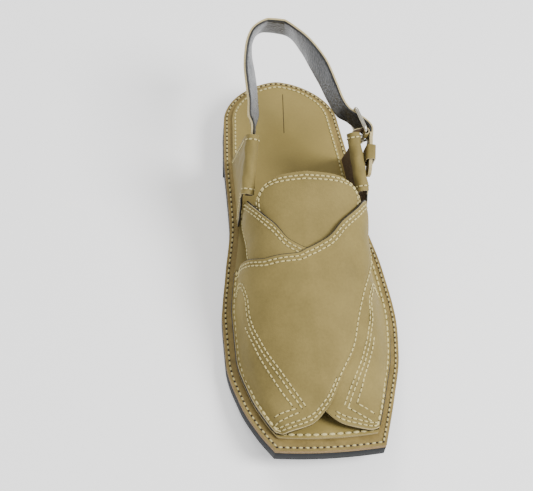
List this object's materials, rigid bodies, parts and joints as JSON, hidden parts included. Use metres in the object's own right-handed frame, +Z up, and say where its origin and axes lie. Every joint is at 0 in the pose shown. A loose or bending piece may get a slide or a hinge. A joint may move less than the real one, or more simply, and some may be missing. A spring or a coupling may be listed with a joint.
{
  "type": "leather sandal",
  "caption": "Left leather sandal with crossed wrap-over panels, rounded tongue, rolled side wings, buckled heel strap and a stitched welted sole with a cut toe.",
  "frame": {"origin": "on the floor under the middle of the shoe's bounding box", "axes": "+Z up, +Y from toe to heel, +X to the lateral side, which carries the buckle"},
  "size_m": [0.1046, 0.2866, 0.0898],
  "materials": {
    "tan_leather": "smooth waxed khaki tan",
    "rim_leather": "worn natural brown",
    "black_rubber": "matte black",
    "nickel_wire": "dull nickel plate"
  },
  "bodies": {
    "root": {"heel": "black_rubber", "outsole": "black_rubber", "midsole": "rim_leather", "insole": "tan_leather", "upper": "tan_leather", "tongue": "tan_leather", "wing_medial": "tan_leather", "wing_lateral": "tan_leather", "heel_strap": "tan_leather", "keeper": "tan_leather", "buckle_tab": "tan_leather", "buckle_frame": "nickel_wire", "buckle_prong": "nickel_wire"}
  },
  "joints": []
}
